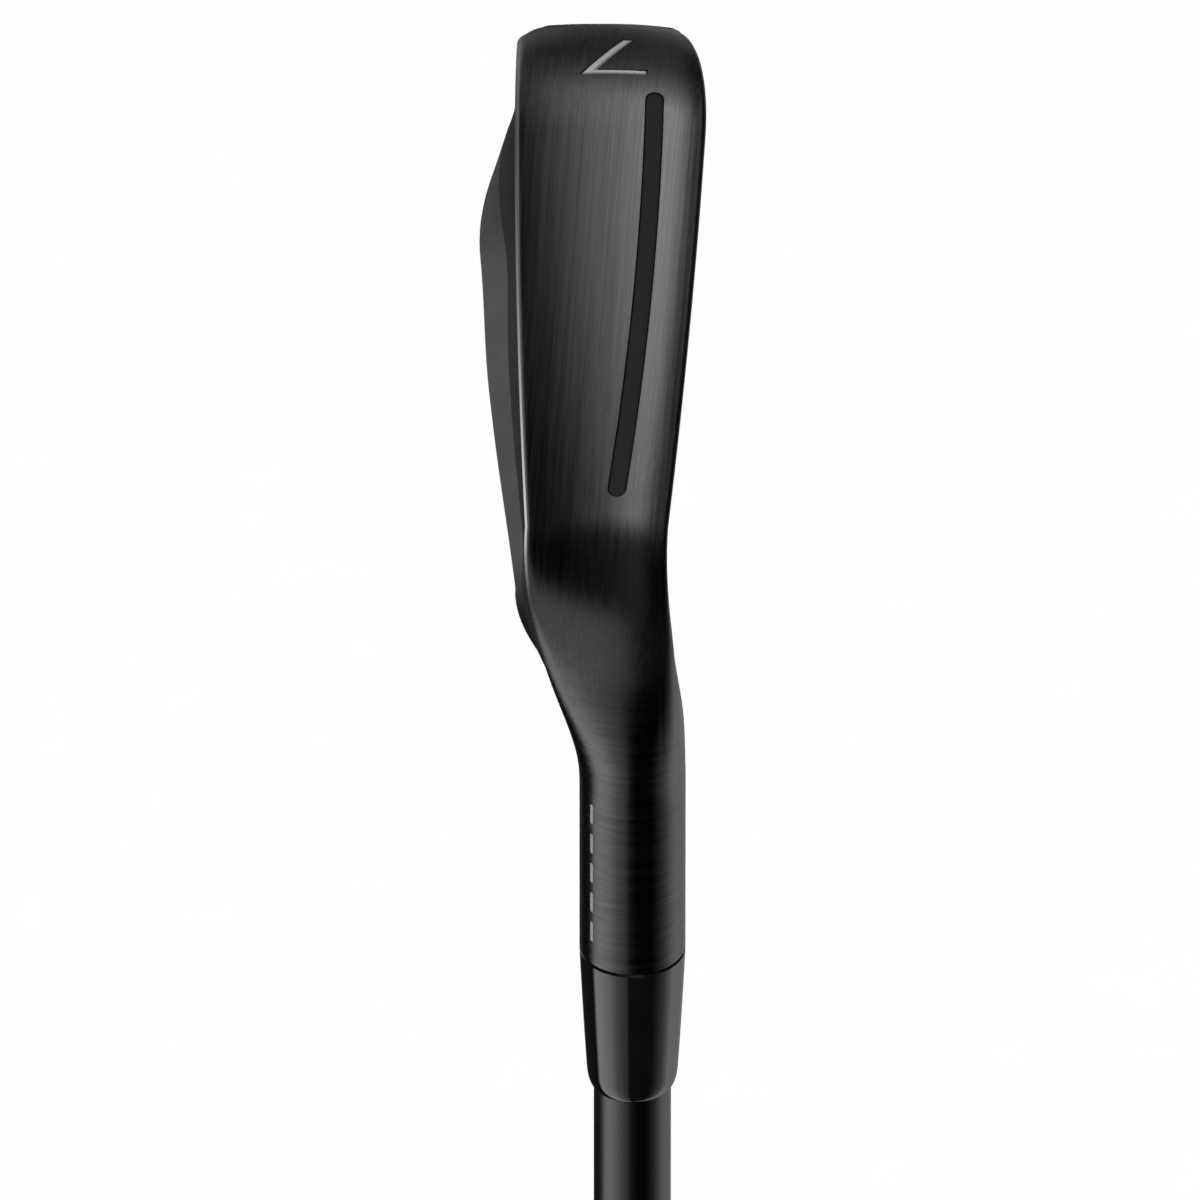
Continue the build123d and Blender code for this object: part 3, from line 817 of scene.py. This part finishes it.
def slot_insert(height):
    """The strip in the slot, a little below the sole, with rounded edges."""
    outline = slot_outline(SLOT_W / 2 - FILL_GAP)
    normals = normals_of(outline)
    rings = []
    for grow, deep in ((0.0, SLOT_DEPTH), (0.0, 0.3), (-0.04, 0.22), (-0.12, 0.17), (-0.3, 0.14),
                       (-0.6, 0.12), (-0.9, 0.115)):
        points = []
        for p, n in zip(outline, normals):
            q = Vector(p) + n * grow
            points.append((q.x, q.y, height(q.x, q.y) + deep))
        rings.append(points)
    return shade(outward(skin_rings("slot_insert", rings, [slot_plastic])), SLOT_CREASE)


def number_loop(grow, pieces=12):
    """The numeral's outline with the same number of points whatever its size."""
    corners = [Vector(p) + n * grow for p, n in zip(NUMBER, normals_of(NUMBER))]
    points = []
    for i, a in enumerate(corners):
        b = corners[(i + 1) % len(corners)]
        points += [mix2(a, b, j / pieces) for j in range(pieces)]
    return points


def inlay(name, loops, height, material):
    """A thin inlay that follows the sole: loops are (outline, depth below the sole), deepest first."""
    bm = bmesh.new()
    count = len(loops[0][0])
    rows = [[bm.verts.new(to_club((x, y, height(x, y) + deep))) for x, y in outline]
            for outline, deep in loops]
    for a, b in zip(rows, rows[1:]):
        for i in range(count):
            bm.faces.new((a[i], a[(i + 1) % count], b[(i + 1) % count], b[i]))
    caps = [bm.faces.new(rows[-1]), bm.faces.new(list(reversed(rows[0])))]
    bmesh.ops.triangulate(bm, faces=caps)
    bmesh.ops.recalc_face_normals(bm, faces=bm.faces)
    return object_of(bm, name, [material])


def hosel_mark(i, name, grow, high, material):
    """A capsule-shaped block on the hosel, from the floor of the mark up to a radius."""
    z = HOSEL_TOP_Z + MARK_START + i * MARK_PITCH
    half = MARK_W / 2 + grow
    sides = 28
    rings = []
    for r in (HOSEL_R - MARK_DEPTH, high):
        points = []
        for k in range(sides):
            a = 2 * math.pi * k / sides
            across = half * math.cos(a)
            along = half * math.sin(a) + math.copysign(MARK_LENGTH / 2 - MARK_W / 2, math.sin(a))
            turn = -math.pi / 2 - MARK_TURN + across / HOSEL_R
            points.append((r * math.cos(turn), r * math.sin(turn), z + along))
        rings.append(points)
    return outward(skin_rings(name, rings, [material], place=club_mm))


def port_tool(name, radius, y_low, y_high, material, key=0.0, depth=0.0):
    """A cylinder along the screw's axis; with a key it has that hexagonal hole in its outer end."""
    sides = 48

    def loop(r, y, six=False):
        points = []
        for k in range(sides):
            a = 2 * math.pi * k / sides
            reach = r / math.cos((a % (math.pi / 3)) - math.pi / 6) if six else r
            points.append((PORT_X + reach * math.cos(a), y, PORT_Z + reach * math.sin(a)))
        return points
    rings = [loop(radius, y_low), loop(radius, y_high - SCREW_CHAMFER if key else y_high)]
    if key:
        rings += [loop(radius - SCREW_CHAMFER, y_high), loop(key / 2 + KEY_CHAMFER, y_high, True),
                  loop(key / 2, y_high - KEY_CHAMFER, True), loop(key / 2, y_high - depth, True)]
    return outward(skin_rings(name, rings, [material]))


def face_cutter(plate):
    """The convex hull of the face plate, pushed out through the front, to cut its seat."""
    bm = bmesh.new()
    bm.from_mesh(plate.data)
    made = bmesh.ops.convex_hull(bm, input=bm.verts)
    hull_faces = {g for g in made["geom"] if isinstance(g, bmesh.types.BMFace)}
    bmesh.ops.delete(bm, geom=[f for f in bm.faces if f not in hull_faces], context="FACES")
    bmesh.ops.delete(bm, geom=[v for v in bm.verts if not v.link_faces], context="VERTS")
    looks = CROWN * math.sin(LOFT) - BACK * math.cos(LOFT)
    front = max(v.co.dot(looks) for v in bm.verts)
    for v in bm.verts:
        if front - v.co.dot(looks) < 0.1 * MM:
            v.co += looks * CLEAR * MM
    return outward(object_of(bm, "face_cutter", []))


def join(objects):
    """One object out of several, the first one's name kept."""
    target = objects[0]
    bm = bmesh.new()
    for o in objects:
        bm.from_mesh(o.data)
    bm.to_mesh(target.data)
    bm.free()
    for o in objects[1:]:
        bpy.data.objects.remove(o)
    return target


finish_of_point = [f for f, n in zip(EDGE_FINISH, EDGE_POINTS) for _ in range(n)]
chamfer_end = sum(EDGE_POINTS[:6])
finish_of_point[chamfer_end - 2:chamfer_end] = [0, 0]    # the bright line ends before the sole does
head = outward(skin_rings("head", head_rings(), [brushed, satin, bright, groove_shade_paint], finish_of_point))
sole_height = surface_finder(head)
shade(head, HEAD_CREASE)
whole_head = head.copy()
whole_head.data = head.data.copy()

insert = slot_insert(sole_height)
number_loops = [(number_loop(grow), deep) for grow, deep in NUMBER_LOOPS]
number = inlay("number_inlay", number_loops, sole_height, silver)
cut(head, sole_tool("slot_cutter", slot_outline(SLOT_W / 2), sole_height, 0.1, SLOT_DEPTH))
cut(head, sole_tool("number_cutter", number_loop(NUMBER_CUT), sole_height, 0.05, NUMBER_DEPTH))
cut(head, port_tool("port_cutter", PORT_R, PORT_START, TOE_TIP + 2.0, brushed))
cut(head, face_cutter(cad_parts["face_plate"]))
dashes = []
for i in range(MARK_COUNT):
    cut(head, hosel_mark(i, "mark_cutter", 0.0, HOSEL_R + CLEAR, brushed))
    dashes.append(hosel_mark(i, f"hosel_dash_{i}", -FILL_GAP, HOSEL_R - PAINT_SINK, silver))
shade(head, HEAD_CREASE)
keep_shading(head, whole_head)
bpy.data.objects.remove(whole_head)
show(head, "head_body")
show(insert, "sole_slot_insert")
show(number, "number_paint")
show(shade(join(dashes), CREASE), "hosel_mark_paint")

screw = port_tool("port_screw", PORT_R - FILL_GAP, PORT_START, PORT_START + SCREW_LENGTH,
                  NODE_MATERIALS["fill_port_screw"], SCREW_KEY, SCREW_KEY_DEPTH)
show(shade(screw, CREASE), "fill_port_screw")


# ---------------------------------------------------------------- turned pieces
def lathe(name, profile, sides, material, ripple=None):
    """A closed profile of (radius, z) turned about the shaft axis; ripple moves points in or out."""
    rings = []
    for k in range(sides):
        a = 2 * math.pi * k / sides
        points = []
        for r, z in profile:
            q = r + (ripple(a, z, r) if ripple else 0.0)
            points.append((q * math.cos(a), q * math.sin(a), z))
        rings.append(points)
    count = len(profile)
    vertices = [club_mm(p) for points in rings for p in points]
    faces = []
    for i in range(sides):
        j = (i + 1) % sides
        for k in range(count):
            m = (k + 1) % count
            faces.append((i * count + k, j * count + k, j * count + m, i * count + m))
    return shade(outward(mesh_object(name, vertices, faces, [material])), CREASE)


def curve(p0, h0, h1, p1, steps):
    """Points along a cubic, its last point left out."""
    return [cubic((p0, h0, h1, p1), i / steps) for i in range(steps)]


def ferrule_profile():
    """A gentle taper from the hosel, then a round end on the shaft."""
    top = HOSEL_TOP_Z
    end = FERRULE_END_Z
    profile = [(SHAFT_R, top), (HOSEL_R - SEAM_CHAMFER, top)]
    shoulder = (FERRULE_END_R, end + 3.2)
    profile += curve((HOSEL_R, top - SEAM_CHAMFER), (HOSEL_R - 0.1, top - 3.0),
                     (HOSEL_R - 0.55, end + 8.0), shoulder, 30)
    profile += curve(shoulder, (FERRULE_END_R - 0.07, end + 1.6),
                     (FERRULE_END_R - 0.25, end + 0.25), (SHAFT_R + 0.02, end), 16)
    return profile + [(SHAFT_R, end)]


show(lathe("ferrule_ring", ferrule_profile(), 128, gloss), "ferrule")


def shaft_steps():
    """(radius, z) down the outside of the shaft, each step a small taper with eased corners."""
    rise = (SHAFT_BUTT_R - SHAFT_R) / STEPS
    points = [(SHAFT_R - STEP_EASE, SHAFT_TIP_Z), (SHAFT_R, SHAFT_TIP_Z - STEP_EASE)]
    for i in range(STEPS):
        z = FIRST_STEP_Z - i * STEP_PITCH
        r = SHAFT_R + i * rise
        points += [(r, z + STEP_EASE), (r + 0.01, z), (r + rise - 0.01, z - STEP_SLOPE),
                   (r + rise, z - STEP_SLOPE - STEP_EASE)]
    points.append((SHAFT_BUTT_R, SHAFT_BUTT_Z))
    return points


def radius_at(z):
    """The shaft's outside radius, its steps taken as sharp."""
    passed = sum(1 for i in range(STEPS) if z < FIRST_STEP_Z - i * STEP_PITCH)
    return SHAFT_R + passed * (SHAFT_BUTT_R - SHAFT_R) / STEPS


outside = shaft_steps()
inside = [(r - SHAFT_WALL, z) for r, z in reversed(outside)]
show(lathe("shaft_tube", outside + inside, 96, tube), "shaft")


def band_profile():
    """The film's outside, following the shaft's steps, then its inside back again."""
    zs = sorted({BAND_LOW, BAND_HIGH} | {z for r, z in outside if BAND_LOW < z < BAND_HIGH})
    radii = {z: r for r, z in outside}
    line = [(radii.get(z, radius_at(z)), z) for z in zs]
    return [(r + BAND_T, z) for r, z in line] + [(r + 0.01, z) for r, z in reversed(line)]


show(lathe("shaft_film", band_profile(), 96, film), "shaft_band")


def grip_profile():
    """The sleeve's outside in fine steps, from the cap to the mouth, then its bore."""
    cap = GRIP_LOW
    mouth = GRIP_HIGH
    edge = mouth - GRIP_EDGE_H
    through = np.array([(cap, GRIP_BUTT_R), *GRIP_POINTS, (edge, GRIP_MOUTH_R)])
    fit = np.polyfit(through[:, 0], through[:, 1], 3)
    line = [(float(np.polyval(fit, z)), float(z)) for z in np.linspace(cap, edge, GRIP_ROWS)]
    line += [(GRIP_MOUTH_R - 0.12, mouth - GRIP_EDGE_H / 2), (GRIP_MOUTH_R - 0.6, mouth)]
    bore = [(r + TAPE_T, z) for r, z in outside if cap < z < mouth]
    return line + [(radius_at(mouth) + TAPE_T, mouth)] + bore + [(radius_at(cap) + TAPE_T, cap)]


def grip_pattern(a, z, r):
    """Shallow lozenges between plain rings, moulded into the outside of the sleeve."""
    in_bore = r < GRIP_MOUTH_R - 0.05
    if in_bore or z < PATTERN_LOW or z > PATTERN_HIGH:
        return 0.0
    row = (z - PATTERN_LOW) / PATTERN_ROW % 1.0
    fade = smooth(min(row, 1.0 - row) * 9.0 - 0.6)
    around = PATTERN_TURNS * a
    slant = z * PATTERN_SLANT
    weave = math.cos(around + slant) * math.cos(around - slant)
    return -PATTERN_DEPTH * fade * smooth((abs(weave) - 0.35) / 0.4)


show(lathe("grip_rubber_sleeve", grip_profile(), 180, rubber, grip_pattern), "grip_sleeve")


def cap_profile():
    """The cap's flat end with a shallow ring, its round edge and the vent."""
    profile = [(VENT_R, 0.3), (VENT_R + 0.3, 0.0), (6.4, 0.0), (6.6, 0.25), (7.0, 0.25), (7.2, 0.0)]
    profile += curve((CAP_FLAT_R, 0.0), (CAP_FLAT_R + 1.8, 0.0), (GRIP_BUTT_R, 1.4),
                     (GRIP_BUTT_R, CAP_ROUND), 20)
    return profile + [(GRIP_BUTT_R, CAP_ROUND), (GRIP_BUTT_R, CAP_T), (VENT_R, CAP_T)]


show(lathe("grip_cap", cap_profile(), 128, rubber), "grip_end_cap")


# ---------------------------------------------------------------- floor, light and camera
def floor():
    half = 12.0
    corners = [(-half, -half, 0), (half, -half, 0), (half, half, 0), (-half, half, 0)]
    obj = mesh_object("floor", corners, [(0, 1, 2, 3)], [floor_paint])
    obj.visible_glossy = False
    return obj


def sun(name, direction, strength, angle):
    data = bpy.data.lights.new(name, "SUN")
    data.energy = strength
    data.angle = math.radians(angle)
    obj = bpy.data.objects.new(name, data)
    obj.rotation_mode = "QUATERNION"
    obj.rotation_quaternion = Vector(direction).to_track_quat("-Z", "Y")
    obj.visible_glossy = False
    bpy.context.scene.collection.objects.link(obj)
    return obj


FILL_DIRECTION = (0.15, 0.35, -1.0)
FILL_STRENGTH = 2.75
FILL_SPREAD = 60.0          # degrees
VIEW_TURN = math.radians(5.0)
VIEW_RISE = math.radians(35.0)
VIEW_DISTANCE = 4.871
LENS = 1200.0
SENSOR = 36.0
AIM_RIGHT = -3.98           # mm from the ground point to the middle of the picture
AIM_UP = -8.4
TO_CAMERA = Vector((math.sin(VIEW_TURN) * math.cos(VIEW_RISE),
                    -math.cos(VIEW_TURN) * math.cos(VIEW_RISE), math.sin(VIEW_RISE)))
RIGHT = Vector((math.cos(VIEW_TURN), math.sin(VIEW_TURN), 0))
UP = TO_CAMERA.cross(RIGHT)

# The world's light is fitted to the photograph's reflections, so it holds for this view.
# Light low in the studio, by its turn from the viewer in degrees, negative to the left.
LOW = ((-180, 0.03), (-150, 0.02), (-100, 0.01), (-92, 1.5), (-73, 1.5), (-56, 1.3), (-38, 0.65),
       (-21, 0.34), (-13, 0.28), (-9, 0.01), (48, 0.0), (60, 0.09), (79, 0.34), (102, 0.95),
       (133, 0.5), (180, 0.15))
# Light at eye level: a panel behind on the left, a softer one in front of it, little on the right.
MIDDLE = ((-180, 0.05), (-160, 0.4), (-145, 0.95), (-115, 0.95), (-98, 0.3), (-60, 0.55),
          (-20, 0.6), (-4, 0.3), (4, 0.04), (70, 0.03), (110, 0.08), (140, 0.35), (180, 0.2))
# The ceiling panel, by the sideways part of the direction and by the part away from the viewer.
CEILING_ACROSS = ((-1.0, 0.02), (-0.7, 0.04), (-0.5, 0.3), (-0.3, 1.0), (-0.1, 1.5), (0.02, 2.2),
                  (0.12, 3.4), (0.2, 3.4), (0.28, 0.3), (0.45, 0.03), (1.0, 0.01))
CEILING_AWAY = ((-1.0, 0.05), (-0.34, 0.08), (-0.2, 0.28), (-0.06, 0.8), (0.02, 1.0), (0.32, 1.0),
                (0.5, 0.3), (0.7, 0.1), (1.0, 0.05))
CEILING_SKEW = 0.35         # the panel's near side runs slantwise
BRIGHTEST = 3.5
# where one layer of light gives way to the next, by the upward part of the direction
LOW_TO_MIDDLE = (-0.45, -0.3)
MIDDLE_TO_CEILING = (0.12, 0.4)


def ramp(tree, source, stops, low, high):
    """Brightness by a value, from stops at (value, brightness)."""
    scale = tree.nodes.new("ShaderNodeMapRange")
    scale.inputs[1].default_value = low
    scale.inputs[2].default_value = high
    tree.links.new(source, scale.inputs[0])
    n = tree.nodes.new("ShaderNodeValToRGB")
    n.color_ramp.interpolation = "LINEAR"
    elements = n.color_ramp.elements
    while len(elements) < len(stops):
        elements.new(0.5)
    for element, (value, light) in zip(elements, stops):
        element.position = (value - low) / (high - low)
        element.color = grey(light / BRIGHTEST)
    tree.links.new(scale.outputs[0], n.inputs[0])
    return n.outputs[0]


def studio_world():
    """Three layers of light by direction: low, at eye level and from the ceiling."""
    world = bpy.data.worlds.new("studio")
    world.use_nodes = True
    tree = world.node_tree
    place = tree.nodes.new("ShaderNodeTexCoord").outputs["Generated"]

    def along(direction):
        n = tree.nodes.new("ShaderNodeVectorMath")
        n.operation = "DOT_PRODUCT"
        tree.links.new(place, n.inputs[0])
        n.inputs[1].default_value = direction
        return n.outputs["Value"]

    def math_node(operation, a, b):
        n = tree.nodes.new("ShaderNodeMath")
        n.operation = operation
        for socket, value in zip(n.inputs, (a, b)):
            if isinstance(value, bpy.types.NodeSocket):
                tree.links.new(value, socket)
            else:
                socket.default_value = value
        return n.outputs[0]

    def fade(low, high):
        n = tree.nodes.new("ShaderNodeMapRange")
        n.interpolation_type = "SMOOTHSTEP"
        n.inputs[1].default_value = low
        n.inputs[2].default_value = high
        tree.links.new(along(UPWARD), n.inputs[0])
        return n.outputs[0]

    def blend(factor, a, b):
        return math_node("ADD", math_node("MULTIPLY", a, math_node("SUBTRACT", 1.0, factor)),
                         math_node("MULTIPLY", b, factor))

    flat_camera = Vector((TO_CAMERA.x, TO_CAMERA.y, 0)).normalized()
    turn = math_node("MULTIPLY", math_node("ARCTAN2", along(RIGHT), along(flat_camera)), 180.0 / math.pi)
    low = ramp(tree, turn, LOW, -180.0, 180.0)
    middle = ramp(tree, turn, MIDDLE, -180.0, 180.0)
    across = ramp(tree, along(RIGHT), CEILING_ACROSS, -1.0, 1.0)
    away = ramp(tree, along(-flat_camera + RIGHT * CEILING_SKEW), CEILING_AWAY, -1.0, 1.0)
    ceiling = math_node("MULTIPLY", math_node("MULTIPLY", across, away), BRIGHTEST)
    light = blend(fade(*MIDDLE_TO_CEILING), blend(fade(*LOW_TO_MIDDLE), low, middle), ceiling)
    tree.links.new(light, tree.nodes["Background"].inputs["Color"])
    tree.nodes["Background"].inputs["Strength"].default_value = BRIGHTEST
    bpy.context.scene.world = world


studio_world()
floor()
sun("fill", FILL_DIRECTION, FILL_STRENGTH, FILL_SPREAD)
camera = bpy.data.objects.new("camera", bpy.data.cameras.new("camera"))
camera.data.lens = LENS
camera.data.sensor_width = SENSOR
camera.data.clip_end = 100.0
aim = Vector((0, 0, GROUND_Z * MM)) + RIGHT * (AIM_RIGHT * MM) + UP * (AIM_UP * MM)
camera.location = aim + TO_CAMERA * VIEW_DISTANCE
camera.rotation_mode = "QUATERNION"
camera.rotation_quaternion = (-TO_CAMERA).to_track_quat("-Z", "Y")
bpy.context.scene.collection.objects.link(camera)
bpy.context.scene.camera = camera
bpy.context.scene.view_settings.view_transform = "Standard"
